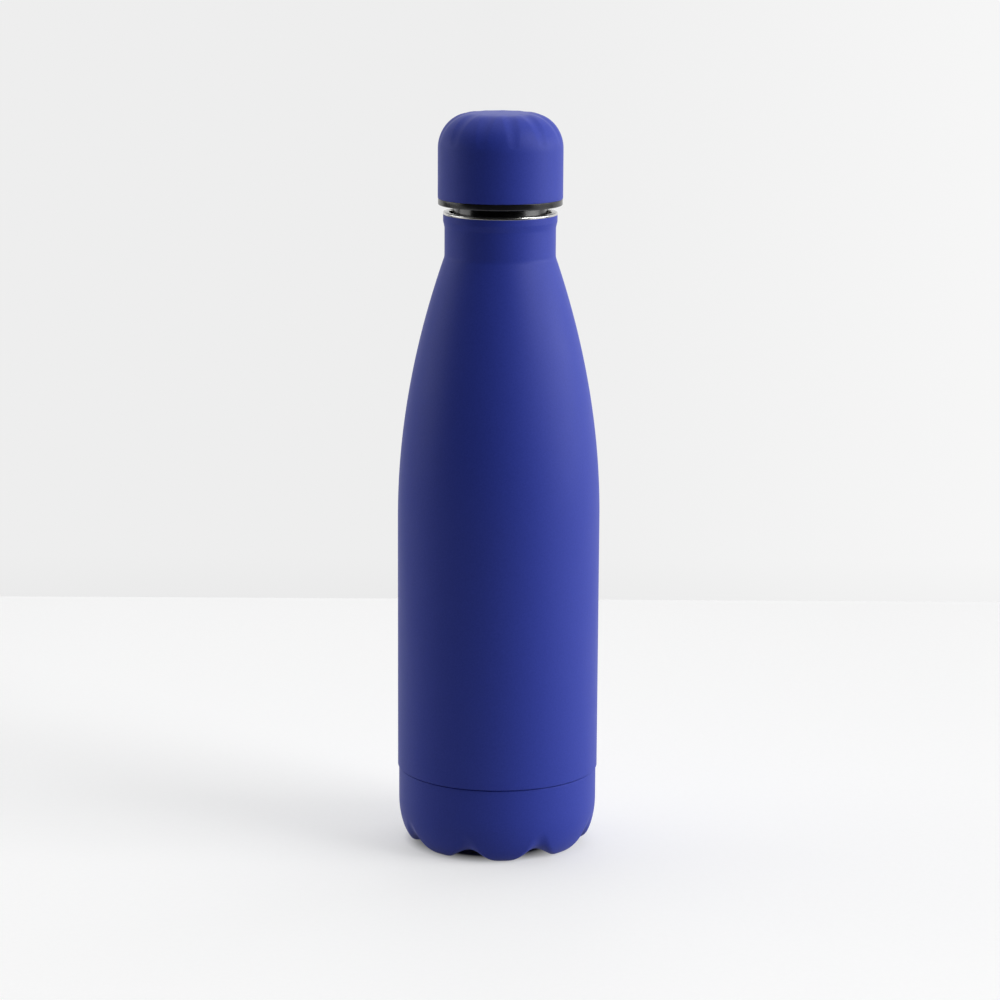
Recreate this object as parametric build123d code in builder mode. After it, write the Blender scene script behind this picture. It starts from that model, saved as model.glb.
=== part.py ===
"""Double-walled steel drinking bottle with a screw-in stopper.

Millimetres.  +Z runs up the bottle's axis, the feet stand on z = 0 and the
front looks along -Y.
"""
from build123d import *
import os
from math import acos, atan, cos, degrees, hypot, radians, sin

os.makedirs("parts", exist_ok=True)

# ---------------------------------------------------------------- sizes
# Foot cup
bend_z = 16.0                 # the side starts to round in towards the feet
cup_side_height = 11.3        # straight side above the bend
cup_step = 0.4                # the cup is this much narrower than the shell
cup_wall = 0.5
cup_clearance = 0.05          # cup over the shell's spigot
foot_count = 8
foot_angle = -86.0            # direction of the front foot
foot_bend_width = 7.1         # from the outer edge of the feet to the side
foot_width = 3.5              # flat ring that the feet stand on
recess_flank = 7.5            # slope between the feet and the flat recess
recess_z = 5.0
valley_depth = 3.5            # arch between two feet
valley_half_width = 8.5
valley_lip = 0.2              # the arch's skirt dips this far below the feet
valley_overrun = 7.0          # the arch runs on this far over the recess
valley_turn_inset = 1.0       # it turns up just inside the outer edge
valley_bend = 10.5
valley_bend_angle = 60.0

# Outer shell
wall = 0.4                    # drawn steel of the shell and the flask
seam_gap = 0.3                # between the cup and the shell's ledge
spigot_lift = 1.5             # the spigot ends this far above the bend
body_radius = 35.5            # painted cylinder
body_height = 87.4            # from the ledge up to the shoulder
shoulder_height = 94.6
shoulder_low_pull = 13.0      # handles of the shoulder curve
shoulder_high_pull = 46.6
neck_radius = 19.3
neck_height = 10.2
neck_blend = 5.0              # rounding between shoulder and neck
flare_height = 2.2            # the neck widens into the bead under the lip
bead_step = 0.5
bead_height = 2.3
lip_thickness = 0.9           # bare steel lip
lip_round = 0.35

# Bottom discs
shell_bottom_lift = 2.5       # the disc's floor above the end of the spigot
shell_bottom_wall = 0.5
dimple_radius = 6.0
dimple_depth = 1.2
tail_hole_radius = 1.5
seal_plug_radius = 3.0
seal_plug_height = 0.9
seal_plug_fit = 0.03
bottom_gap = 4.0              # between the two bottoms
bottom_fit = 0.05             # discs inside their tubes
bottom_rim = 3.0
bottom_rise = 2.5             # the flask's disc bulges upwards

# Inner flask
vacuum_gap = 3.5              # between shell and flask along the body
neck_gap = 0.7                # between shell and flask in the neck
seat_depth = 18.6             # from the top of the lip to the seat's foot
seat_width = 2.2              # cone that the seal closes on
seat_height = 2.2
throat_length = 1.2           # narrowest place, below the seat
throat_blend = 1.5

# Radiation shield and getter
foil_thickness = 0.15
foil_fit = 0.05
foil_low_margin = 5.5         # bare ends of the flask's cylinder
foil_high_margin = 3.0
getter_radius = 4.0
getter_height = 2.0
getter_round = 0.8
getter_drop = 1.5             # underside of the pill below the flask
getter_offset = 16.0          # distance from the axis
getter_clip_width = 3.0
getter_clip_thickness = 0.4
getter_clip_fit = 0.05

# Cap
cap_gap = 2.4                 # between the lip and the black band
cap_radius = 21.66
cap_wall = 0.5
cap_side_height = 17.2        # straight side above the band
band_height = 2.2
band_inset = 0.1              # the black band stays this far inside the cap
band_round = 0.4
dome_width = 11.46            # half axes of the dome's elliptic side
dome_height = 12.2
crown_radius = 11.5           # edge of the crowned top
crown_rise = 0.38
flute_count = 12
flute_angle = -78.0           # direction of one flute near the front
flute_radius = 5.4            # hollow of a flute's cross-section
flute_depth = 0.3
flute_low_angle = 12.0        # where the flutes run out on the dome
flute_middle_angle = 52.0
flute_high_angle = 88.0

# Stopper
thread_room = 1.6             # from the core of the plug's thread to the bore
plug_wall = 1.8
root_round = 0.5
nose_clearance = 0.7          # nose inside the throat
nose_groove = 0.7             # the seal sits behind the nose's lip
nose_lip_height = 1.6
seal_rise = 1.05              # foot of the seal above the seat's foot
seal_height = 2.9
seal_margin = 0.8             # seal inside the bore
seal_fit = 0.05
seal_land = 1.1
seal_gap = 0.2                # rest clearance to the neck's seat
collar_fit = 0.05             # stopper collar glued into the cap
collar_wall = 1.6
collar_height = 12.2          # above the band
stopper_lid_thickness = 2.0
stopper_lid_step = 1.0        # ledge that carries the stopper lid
lid_fit = 0.05
lid_chamfer = 0.4
foam_fit = 0.05

# ------------------------------------------------------- derived places
cup_radius = body_radius - cup_step
cup_top_z = bend_z + cup_side_height
foot_outer_radius = cup_radius - foot_bend_width
foot_inner_radius = foot_outer_radius - foot_width
recess_radius = foot_inner_radius - recess_flank
valley_start_radius = recess_radius - valley_overrun
valley_turn_radius = foot_outer_radius - valley_turn_inset

seam_z = cup_top_z + seam_gap
shoulder_start_z = seam_z + body_height
neck_start_z = shoulder_start_z + shoulder_height
flare_start_z = neck_start_z + neck_height
flare_end_z = flare_start_z + flare_height
lip_bottom_z = flare_end_z + bead_height
lip_z = lip_bottom_z + lip_thickness
bead_radius = neck_radius + bead_step
shell_inner_radius = body_radius - wall
spigot_radius = cup_radius - cup_wall - cup_clearance
spigot_bottom_z = bend_z + spigot_lift

shell_bottom_z = spigot_bottom_z + shell_bottom_lift
flask_bottom_z = shell_bottom_z + shell_bottom_wall + bottom_gap
flask_outer_radius = shell_inner_radius - vacuum_gap
flask_radius = flask_outer_radius - wall
bore_radius = neck_radius - wall - neck_gap - wall
throat_radius = bore_radius - seat_width
seat_bottom_z = lip_z - seat_depth
seat_top_z = seat_bottom_z + seat_height
throat_bottom_z = seat_bottom_z - throat_length
foil_start_z = flask_bottom_z + foil_low_margin
foil_end_z = shoulder_start_z - foil_high_margin
getter_z = flask_bottom_z - getter_drop

band_bottom_z = lip_z + cap_gap
band_top_z = band_bottom_z + band_height
cap_inner_radius = cap_radius - cap_wall
dome_start_z = band_top_z + cap_side_height
dome_center_radius = cap_radius - dome_width
crown_edge_angle = degrees(acos((crown_radius - dome_center_radius) / dome_width))
top_z = dome_start_z + dome_height * sin(radians(crown_edge_angle)) + crown_rise

seal_bottom_z = seat_bottom_z + seal_rise
seal_top_z = seal_bottom_z + seal_height
seal_radius = bore_radius - seal_margin
nose_lip_radius = throat_radius - nose_clearance
nose_radius = nose_lip_radius - nose_groove
nose_top_z = seal_bottom_z - seal_fit
nose_bottom_z = nose_top_z - nose_lip_height
plug_radius = bore_radius - thread_room
plug_bottom_z = seal_top_z + seal_fit
collar_top_z = band_top_z + collar_height
quarter_turn = 90.0


def shoulder(low_radius, top):
    """Shoulder curve from the cylinder of low_radius up to the point top."""
    reach = top[1] - shoulder_start_z
    full_reach = neck_start_z - shoulder_start_z
    return Bezier(
        (low_radius, shoulder_start_z),
        (low_radius, shoulder_start_z + shoulder_low_pull),
        (low_radius, top[1] - shoulder_high_pull * reach / full_reach),
        top,
    )


# ---------------------------------------------------------- outer shell
def shell_form(inset, bottom_z, ledge_z, top_z):
    """Round solid under the shell's skin, with its radii smaller by inset."""
    with BuildPart() as form:
        with BuildSketch(Plane.XZ) as section:
            with BuildLine():
                Polyline(
                    (0, top_z),
                    (0, bottom_z),
                    (spigot_radius - inset, bottom_z),
                    (spigot_radius - inset, ledge_z),
                    (body_radius - inset, ledge_z),
                    (body_radius - inset, shoulder_start_z),
                )
                shoulder(body_radius - inset, (neck_radius - inset, neck_start_z))
                Polyline(
                    (neck_radius - inset, neck_start_z),
                    (neck_radius - inset, flare_start_z),
                    (bead_radius - inset, flare_end_z),
                    (bead_radius - inset, top_z),
                    (0, top_z),
                )
            make_face()
            neck_corner = section.vertices().sort_by_distance((neck_radius - inset, neck_start_z))[0]
            fillet(neck_corner, neck_blend)
        revolve(axis=Axis.Z)
    return form


shell_skin = shell_form(0, spigot_bottom_z, seam_z, lip_bottom_z)
shell_room = shell_form(wall, spigot_bottom_z - wall, seam_z + wall, lip_bottom_z + wall)
with BuildPart() as outer_shell:
    add(shell_skin.part)
    add(shell_room.part, mode=Mode.SUBTRACT)
outer_shell.part.label = "outer_shell"
export_step(outer_shell.part, "parts/outer_shell.step")

# The shell's bottom disc, welded inside the spigot, with a dimple and a hole
# through which the gap was pumped empty.
shell_bottom_radius = spigot_radius - wall - bottom_fit
with BuildPart() as shell_bottom:
    with BuildSketch(Plane.XZ) as section:
        with BuildLine():
            Polyline(
                (tail_hole_radius, shell_bottom_z - dimple_depth),
                (dimple_radius - dimple_depth, shell_bottom_z - dimple_depth),
                (dimple_radius, shell_bottom_z),
                (shell_bottom_radius - shell_bottom_wall, shell_bottom_z),
                (shell_bottom_radius - shell_bottom_wall, spigot_bottom_z),
                (shell_bottom_radius, spigot_bottom_z),
                (shell_bottom_radius, shell_bottom_z + shell_bottom_wall),
                (dimple_radius, shell_bottom_z + shell_bottom_wall),
                (dimple_radius - dimple_depth, shell_bottom_z + shell_bottom_wall - dimple_depth),
                (tail_hole_radius, shell_bottom_z + shell_bottom_wall - dimple_depth),
                close=True,
            )
        make_face()
    revolve(axis=Axis.Z)
shell_bottom.part.label = "shell_bottom"
export_step(shell_bottom.part, "parts/shell_bottom.step")

# Bead of solder that seals the hole from below.
dimple_floor_z = shell_bottom_z - dimple_depth
with BuildPart() as vacuum_seal:
    with BuildSketch(Plane.XZ):
        with BuildLine():
            Line((0, dimple_floor_z + shell_bottom_wall), (0, dimple_floor_z - seal_plug_height))
            TangentArc(
                (0, dimple_floor_z - seal_plug_height),
                (seal_plug_radius, dimple_floor_z),
                tangent=(1, 0),
            )
            Polyline(
                (seal_plug_radius, dimple_floor_z),
                (tail_hole_radius - seal_plug_fit, dimple_floor_z),
                (tail_hole_radius - seal_plug_fit, dimple_floor_z + shell_bottom_wall),
                (0, dimple_floor_z + shell_bottom_wall),
            )
        make_face()
    revolve(axis=Axis.Z)
vacuum_seal.part.label = "vacuum_seal"
export_step(vacuum_seal.part, "parts/vacuum_seal.step")


# ---------------------------------------------------------- inner flask
def flask_form(outset, bottom_z, top_z):
    """Round solid that fills the flask, with its radii larger by outset."""
    with BuildPart() as form:
        with BuildSketch(Plane.XZ) as section:
            with BuildLine():
                Polyline(
                    (0, top_z),
                    (0, bottom_z),
                    (flask_radius + outset, bottom_z),
                    (flask_radius + outset, shoulder_start_z),
                )
                shoulder(flask_radius + outset, (throat_radius + outset, throat_bottom_z))
                Polyline(
                    (throat_radius + outset, throat_bottom_z),
                    (throat_radius + outset, seat_bottom_z),
                    (bore_radius + outset, seat_top_z),
                    (bore_radius + outset, top_z),
                    (0, top_z),
                )
            make_face()
            throat_corner = section.vertices().sort_by_distance((throat_radius + outset, throat_bottom_z))[0]
            fillet(throat_corner, throat_blend)
        revolve(axis=Axis.Z)
    return form


flask_skin = flask_form(wall, flask_bottom_z, lip_bottom_z)
flask_room = flask_form(0, flask_bottom_z - wall, lip_z)
with BuildPart() as inner_flask:
    add(flask_skin.part)
    with BuildSketch(Plane.XZ) as lip_section:
        with BuildLine():
            Polyline((0, lip_bottom_z), (bead_radius, lip_bottom_z), (bead_radius, lip_z), (0, lip_z), close=True)
        make_face()
        fillet(lip_section.vertices().sort_by_distance((bead_radius, lip_z))[0], lip_round)
    revolve(axis=Axis.Z)
    add(flask_room.part, mode=Mode.SUBTRACT)
    mouth_edge = inner_flask.edges().filter_by(GeomType.CIRCLE).group_by(Axis.Z)[-1].sort_by(SortBy.RADIUS)[0]
    fillet(mouth_edge, lip_round)
inner_flask.part.label = "inner_flask"
export_step(inner_flask.part, "parts/inner_flask.step")

# Domed disc welded into the flask's lower end.
flask_bottom_radius = flask_radius - bottom_fit
disc_edge_z = flask_bottom_z + bottom_rim
with BuildPart() as flask_bottom:
    with BuildSketch(Plane.XZ):
        with BuildLine():
            TangentArc((0, disc_edge_z + bottom_rise), (flask_bottom_radius, disc_edge_z), tangent=(1, 0))
            Polyline(
                (flask_bottom_radius, disc_edge_z),
                (flask_bottom_radius, flask_bottom_z),
                (flask_bottom_radius - wall, flask_bottom_z),
                (flask_bottom_radius - wall, disc_edge_z - wall),
            )
            underside = TangentArc(
                (0, disc_edge_z + bottom_rise - wall),
                (flask_bottom_radius - wall, disc_edge_z - wall),
                tangent=(1, 0),
            )
            Line(underside @ 0, (0, disc_edge_z + bottom_rise))
        make_face()
    revolve(axis=Axis.Z)
flask_bottom.part.label = "flask_bottom"
export_step(flask_bottom.part, "parts/flask_bottom.step")

# Copper foil wrapped round the flask, against radiated heat.
foil_radius = flask_outer_radius + foil_fit
with BuildPart() as copper_foil:
    with BuildSketch(Plane.XY.offset(foil_start_z)):
        Circle(foil_radius + foil_thickness)
        Circle(foil_radius, mode=Mode.SUBTRACT)
    extrude(amount=foil_end_z - foil_start_z)
copper_foil.part.label = "copper_foil"
export_step(copper_foil.part, "parts/copper_foil.step")

# Getter pill that keeps the gap empty of gas, held under the flask by a clip.
with BuildPart() as getter:
    with BuildSketch(Plane.XY.offset(getter_z)):
        with Locations((getter_offset, 0)):
            Circle(getter_radius)
    extrude(amount=getter_height)
    fillet(getter.edges().group_by(Axis.Z)[0], getter_round)
    with BuildSketch(Plane.XY.offset(getter_z + getter_height)):
        with Locations((getter_offset, 0)):
            Circle(getter_radius - getter_round)
    extrude(amount=-getter_height / 2, mode=Mode.SUBTRACT)
getter.part.label = "getter"
export_step(getter.part, "parts/getter.step")

clip_near = getter_offset - getter_radius
clip_leg = getter_offset + getter_radius + getter_clip_fit
underside_rise = bottom_rise * (1 - ((clip_leg + getter_clip_thickness) / flask_bottom_radius) ** 2)
clip_top_z = disc_edge_z - wall + underside_rise - getter_clip_fit
with BuildPart() as getter_clip:
    with BuildSketch(Plane.XZ):
        with BuildLine():
            Polyline(
                (clip_near, getter_z),
                (clip_leg, getter_z),
                (clip_leg, clip_top_z),
                (clip_leg + getter_clip_thickness, clip_top_z),
                (clip_leg + getter_clip_thickness, getter_z - getter_clip_thickness),
                (clip_near, getter_z - getter_clip_thickness),
                close=True,
            )
        make_face()
    extrude(amount=getter_clip_width / 2, both=True)
getter_clip.part.label = "getter_clip"
export_step(getter_clip.part, "parts/getter_clip.step")


# ------------------------------------------------------------- foot cup
def foot_form(skin, top_z):
    """Closed solid of the petal foot, its whole surface set in by skin."""
    with BuildPart() as valley:
        with BuildLine(Plane.XZ):
            floor_run = Line((valley_start_radius, 0), (valley_turn_radius, 0))
            bend = JernArc(floor_run @ 1, floor_run % 1, valley_bend, valley_bend_angle)
            Line(bend @ 1, bend @ 1 + (bend % 1) * bend_z)
        with BuildSketch(Plane(origin=floor_run @ 0, x_dir=(0, 1, 0), z_dir=(1, 0, 0))):
            with BuildLine():
                tilt = 2 * atan((valley_depth + valley_lip) / valley_half_width)
                flank_radius = valley_half_width / (2 * sin(tilt))
                rise = JernArc((-valley_half_width, -valley_lip), (1, 0), flank_radius, degrees(tilt))
                crest = JernArc(rise @ 1, rise % 1, flank_radius, -2 * degrees(tilt))
                fall = JernArc(crest @ 1, crest % 1, flank_radius, degrees(tilt))
                Polyline(
                    fall @ 1,
                    (valley_half_width, -valley_depth),
                    (-valley_half_width, -valley_depth),
                    rise @ 0,
                )
            make_face()
            if skin > 0:
                offset(amount=skin)
        sweep()
    with BuildPart() as form:
        with BuildSketch(Plane.XZ):
            with BuildLine():
                Polyline(
                    (0, top_z),
                    (0, recess_z + skin),
                    (recess_radius - skin, recess_z + skin),
                    (foot_inner_radius - skin, skin),
                    (foot_outer_radius, skin),
                )
                EllipticalCenterArc(
                    (foot_outer_radius, bend_z),
                    cup_radius - foot_outer_radius - skin,
                    bend_z - skin,
                    start_angle=-quarter_turn,
                    arc_size=quarter_turn,
                )
                Polyline((cup_radius - skin, bend_z), (cup_radius - skin, top_z), (0, top_z))
            make_face()
        revolve(axis=Axis.Z)
        with PolarLocations(0, foot_count, start_angle=foot_angle + 180 / foot_count):
            add(valley.part, mode=Mode.SUBTRACT)
    return form


foot_skin = foot_form(0, cup_top_z)
foot_room = foot_form(cup_wall, cup_top_z + cup_wall)
with BuildPart() as base_cup:
    add(foot_skin.part)
    add(foot_room.part, mode=Mode.SUBTRACT)
base_cup.part.label = "base_cup"
export_step(base_cup.part, "parts/base_cup.step")


# ------------------------------------------------------------ cap shell
def dome_form(inset, bottom_z):
    """Round solid under the cap's skin, set in by inset."""
    with BuildPart() as form:
        with BuildSketch(Plane.XZ):
            with BuildLine():
                Polyline(
                    (0, bottom_z),
                    (cap_radius - inset, bottom_z),
                    (cap_radius - inset, dome_start_z),
                )
                side = EllipticalCenterArc(
                    (dome_center_radius, dome_start_z),
                    dome_width - inset,
                    dome_height - inset,
                    start_angle=0,
                    arc_size=crown_edge_angle,
                )
                crown = TangentArc((0, top_z - inset), side @ 1, tangent=(1, 0))
                Line(crown @ 0, (0, bottom_z))
            make_face()
        revolve(axis=Axis.Z)
    return form


def above_dome(angle, height):
    """Point at a height above the dome's side, at an angle of its ellipse."""
    across = cos(radians(angle))
    up = sin(radians(angle))
    steepness = hypot(dome_height * across, dome_width * up)
    return (
        dome_center_radius + dome_width * across + height * dome_height * across / steepness,
        dome_start_z + dome_height * up + height * dome_width * up / steepness,
    )


dome_skin = dome_form(0, band_top_z)
dome_room = dome_form(cap_wall, band_top_z - cap_wall)
with BuildPart() as flute:
    with BuildLine(Plane.XZ):
        flute_line = ThreePointArc(
            above_dome(flute_low_angle, flute_radius),
            above_dome(flute_middle_angle, flute_radius - flute_depth),
            above_dome(flute_high_angle, flute_radius),
        )
    with BuildSketch(Plane(origin=flute_line @ 0, z_dir=flute_line % 0)):
        Circle(flute_radius)
    sweep()
with BuildPart() as cap_shell:
    add(dome_skin.part)
    add(dome_room.part, mode=Mode.SUBTRACT)
    with PolarLocations(0, flute_count, start_angle=flute_angle):
        add(flute.part, mode=Mode.SUBTRACT)
cap_shell.part.label = "cap_shell"
export_step(cap_shell.part, "parts/cap_shell.step")

# -------------------------------------------------------------- stopper
collar_radius = cap_inner_radius - collar_fit
lid_room_radius = collar_radius - collar_wall
foam_room_radius = lid_room_radius - stopper_lid_step
lid_bottom_z = collar_top_z - stopper_lid_thickness
plug_room_radius = plug_radius - plug_wall
nose_room_radius = nose_radius - plug_wall
with BuildPart() as stopper_body:
    with BuildSketch(Plane.XZ) as section:
        with BuildLine():
            Polyline(
                (0, nose_bottom_z),
                (nose_lip_radius, nose_bottom_z),
                (nose_lip_radius, nose_top_z),
                (nose_radius, nose_top_z),
                (nose_radius, plug_bottom_z),
                (plug_radius, plug_bottom_z),
                (plug_radius, band_bottom_z),
                (cap_radius - band_inset, band_bottom_z),
                (cap_radius - band_inset, band_top_z),
                (collar_radius, band_top_z),
                (collar_radius, collar_top_z),
                (lid_room_radius, collar_top_z),
                (lid_room_radius, lid_bottom_z),
                (foam_room_radius, lid_bottom_z),
                (foam_room_radius, band_top_z + plug_wall),
                (plug_room_radius, band_top_z + plug_wall),
                (plug_room_radius, plug_bottom_z + plug_wall),
                (nose_room_radius, plug_bottom_z + plug_wall),
                (nose_room_radius, nose_bottom_z + plug_wall),
                (0, nose_bottom_z + plug_wall),
                close=True,
            )
        make_face()
        band_corner = section.vertices().sort_by_distance((cap_radius - band_inset, band_bottom_z))[0]
        fillet(band_corner, band_round)
        root_corner = section.vertices().sort_by_distance((plug_radius, band_bottom_z))[0]
        fillet(root_corner, root_round)
    revolve(axis=Axis.Z)
stopper_body.part.label = "stopper_body"
export_step(stopper_body.part, "parts/stopper_body.step")

# Foam that fills the stopper.
with BuildPart() as stopper_foam:
    with BuildSketch(Plane.XZ):
        with BuildLine():
            Polyline(
                (0, nose_bottom_z + plug_wall + foam_fit),
                (nose_room_radius - foam_fit, nose_bottom_z + plug_wall + foam_fit),
                (nose_room_radius - foam_fit, plug_bottom_z + plug_wall + foam_fit),
                (plug_room_radius - foam_fit, plug_bottom_z + plug_wall + foam_fit),
                (plug_room_radius - foam_fit, band_top_z + plug_wall + foam_fit),
                (foam_room_radius - foam_fit, band_top_z + plug_wall + foam_fit),
                (foam_room_radius - foam_fit, lid_bottom_z - foam_fit),
                (0, lid_bottom_z - foam_fit),
                close=True,
            )
        make_face()
    revolve(axis=Axis.Z)
stopper_foam.part.label = "stopper_foam"
export_step(stopper_foam.part, "parts/stopper_foam.step")

# Disc welded over the foam, on the collar's ledge.
with BuildPart() as stopper_lid:
    with BuildSketch(Plane.XY.offset(lid_bottom_z)):
        Circle(lid_room_radius - lid_fit)
    extrude(amount=stopper_lid_thickness)
    chamfer(stopper_lid.edges().group_by(Axis.Z)[-1], lid_chamfer)
stopper_lid.part.label = "stopper_lid"
export_step(stopper_lid.part, "parts/stopper_lid.step")

# Silicone seal on the stopper's nose; its lower flank lies along the seat.
seat_slope = seat_width / seat_height
seal_lift = seal_gap * hypot(1, seat_slope)
seal_heel_radius = throat_radius + seal_rise * seat_slope - seal_lift
seal_flank_top_z = seal_bottom_z + (seal_radius - seal_heel_radius) / seat_slope
with BuildPart() as seal_ring:
    with BuildSketch(Plane.XZ):
        with BuildLine():
            Polyline(
                (nose_radius + seal_fit, seal_bottom_z),
                (seal_heel_radius, seal_bottom_z),
                (seal_radius, seal_flank_top_z),
                (seal_radius, seal_flank_top_z + seal_land),
                (plug_radius, seal_top_z),
                (nose_radius + seal_fit, seal_top_z),
                close=True,
            )
        make_face()
    revolve(axis=Axis.Z)
seal_ring.part.label = "seal_ring"
export_step(seal_ring.part, "parts/seal_ring.step")
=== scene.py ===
"""Dressed model of a double-walled steel drinking bottle with a screw-in stopper.

Shapes are worked out in millimetres about the bottle's axis and written to
the meshes in metres.  Feet stand on z = 0, the front looks along -Y.
"""

import math

import bpy
import numpy as np
from mathutils import Matrix, Vector


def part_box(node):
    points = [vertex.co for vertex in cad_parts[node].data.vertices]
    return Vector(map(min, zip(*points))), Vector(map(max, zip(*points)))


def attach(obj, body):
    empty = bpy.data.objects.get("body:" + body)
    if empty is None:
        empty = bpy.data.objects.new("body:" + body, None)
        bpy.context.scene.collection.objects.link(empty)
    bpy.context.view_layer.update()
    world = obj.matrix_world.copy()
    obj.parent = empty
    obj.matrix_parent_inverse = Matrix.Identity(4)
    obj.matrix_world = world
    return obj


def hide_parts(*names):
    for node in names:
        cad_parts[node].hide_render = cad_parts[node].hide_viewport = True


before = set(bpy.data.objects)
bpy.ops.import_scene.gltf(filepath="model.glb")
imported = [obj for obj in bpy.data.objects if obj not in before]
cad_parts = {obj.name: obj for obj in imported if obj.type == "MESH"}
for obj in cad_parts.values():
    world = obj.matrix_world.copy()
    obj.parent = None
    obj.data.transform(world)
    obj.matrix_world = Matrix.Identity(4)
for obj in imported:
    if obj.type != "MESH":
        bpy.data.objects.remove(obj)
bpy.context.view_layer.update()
MM = 0.001


# ------------------------------------------------------------ sizes
def corners(node):
    """Lowest and highest corner of a CAD node, in millimetres."""
    low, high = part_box(node)
    return np.array(low) / MM, np.array(high) / MM


SHELL_LOW, SHELL_HIGH = corners("outer_shell")
CUP_HIGH = corners("base_cup")[1]
FLASK_LOW, FLASK_HIGH = corners("inner_flask")
CAP_LOW, CAP_HIGH = corners("cap_shell")
PLUG_LOW, PLUG_HIGH = corners("stopper_body")
SEAL_LOW, SEAL_HIGH = corners("seal_ring")

# Outer shell
WALL = 0.4                     # drawn steel
BODY_RADIUS = SHELL_HIGH[0]
SPIGOT_DEPTH = 0.55            # the foot cup's wall and its clearance
SEAM_GAP = 0.3
SEAM_Z = CUP_HIGH[2] + SEAM_GAP
SEAM_EDGES = (0.1, 0.22)       # inner and outer corner of the ledge at the seam
SHOULDER_Z = SEAM_Z + 87.4
SHOULDER_HEIGHT = 94.6
SHOULDER_LOW_PULL = 13.0       # lengths of the curve's two handles
SHOULDER_HIGH_PULL = 46.6
NECK_RADIUS = 19.3
NECK_BLEND = 5.0               # arc between the shoulder and the neck
NECK_HEIGHT = 10.2
FLARE_HEIGHT = 2.2
FLARE_EDGES = (4.0, 1.5)       # where the neck opens, and where the bead starts
BEAD_RADIUS = 19.8
LIP_BOTTOM_Z = SHELL_HIGH[2]
LIP_Z = FLASK_HIGH[2]

# Inner flask
FLASK_RADIUS = FLASK_HIGH[0]   # outside of the inner flask
FLASK_BLEND = 1.5              # arc between the shoulder and the throat
BORE_RADIUS = 17.8
THROAT_RADIUS = 15.6           # narrowest, just under the seal's seat
THROAT_LENGTH = 1.2
SEAT_Z = LIP_Z - 18.6
SEAT_HEIGHT = 2.2
SEAT_EDGE = 0.4
LIP_EDGES = (0.12, 0.4, 0.4)   # under the lip, outside and inside on top
LIP_REACH = 0.5                # the lip's roll ends this far down the bore
BARE_LIP_DEPTH = 0.6           # below the lip by this, the polish ends

# Foot cup
CUP_RADIUS = CUP_HIGH[0]
CUP_WALL = 0.5
CUP_RIM_EDGES = (0.2, 0.1)
BEND_Z = 16.0                  # the bend from the foot ring ends here
FOOT_OUTER = CUP_RADIUS - 7.1
FOOT_INNER = FOOT_OUTER - 3.5
RECESS_RADIUS = FOOT_INNER - 7.5
RECESS_Z = 5.0
RECESS_EDGES = (2.0, 1.2)
FOOT_COUNT = 8
FRONT_FOOT = math.radians(-86)
ARCH_DEPTH = 3.5               # height of the arches between the feet
ARCH_HALF = 11.2               # half the width of an arch
ARCH_LIP = 0.7                 # at its half width the roof is this far below 0
ARCH_FALL = 0.25               # past its half width, the roof falls at this slope
ARCH_TURN = FOOT_OUTER - 1.0   # from here out an arch climbs the cup's side,
ARCH_BEND = 10.5               # on an arc of this radius
ARCH_ANGLE = math.radians(60)
ARCH_SOFT = 0.8                # the arches' edges are rounded by about this

# Cap
CAP_RADIUS = CAP_HIGH[0]
CAP_WALL = 0.5
CAP_RIM_HEIGHT = 1.0
CAP_RIM_EDGES = (0.1, 0.25)
CAP_SIDE_Z = CAP_LOW[2] + 17.2
DOME_WIDTH = 11.46
DOME_HEIGHT = 12.2
CROWN_RADIUS = 11.5            # the flat top's edge
FLUTE_COUNT = 12
FIRST_FLUTE = math.radians(-78)
FLUTE_RADIUS = 8.5
FLUTE_DEPTH = 0.28
FLUTE_SOFT = 0.4
FLUTE_RUN_OUT = 4.0            # past its ends it shallows by this for each radian
FLUTE_COURSE = np.radians([12.0, 52.0, 88.0])  # its ends and middle on the dome

# Stopper
PLUG_RADIUS = 16.2             # root of the thread
PLUG_WALL = 1.8
PLUG_BOTTOM_Z = LIP_Z - 14.6   # the step from the nose to the plug
PLUG_RELIEF = 0.35             # the plug narrows by this above its thread
NOSE_RADIUS = 14.2
NOSE_LIP_RADIUS = 14.9
NOSE_LIP_HEIGHT = 1.6
NOSE_EDGES = (0.5, 0.3, 0.1, 0.1, 0.3)
BAND_HEIGHT = 2.2
BAND_RADIUS = CAP_RADIUS - 0.1  # the black band under the cap
BAND_TO_TOP = 14.4             # from the band's underside to the collar's top
BAND_EDGES = (0.3, 0.4, 0.1, 0.05)
COLLAR_RADIUS = CAP_RADIUS - CAP_WALL - 0.05  # glued into the cap
COLLAR_WALL = 1.6
ROOM_EDGE = 0.1                # every corner inside the stopper
LID_STEP = 1.0
LID_THICKNESS = 2.0

# Seal ring
SEAL_RADIUS = SEAL_HIGH[0]
SEAL_INNER = 15.2
SEAL_TOE = 16.37
SEAL_LAND = 1.1
SEAL_PLAY = 0.05               # between the ring and the nose
SEAL_EDGES = (0.15, 0.4, 0.4, 0.3, 0.15, 0.15)

# Thread
THREAD_PITCH = 4.0             # two starts, so one turn lifts the cap by 8 mm
THREAD_STARTS = 2
THREAD_FOOT = 0.85             # half the ridge's width at its foot
THREAD_FLANK = 0.45            # width of each flank
THREAD_FADE = 1.2              # the thread runs out over this height
PLUG_THREAD_HEIGHT = 1.3
PLUG_THREAD_Z = (LIP_Z - 13.0, LIP_Z - 1.0)
NECK_THREAD_HEIGHT = 0.65
NECK_THREAD_Z = (LIP_Z - 14.0, LIP_Z - 3.6)

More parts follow.
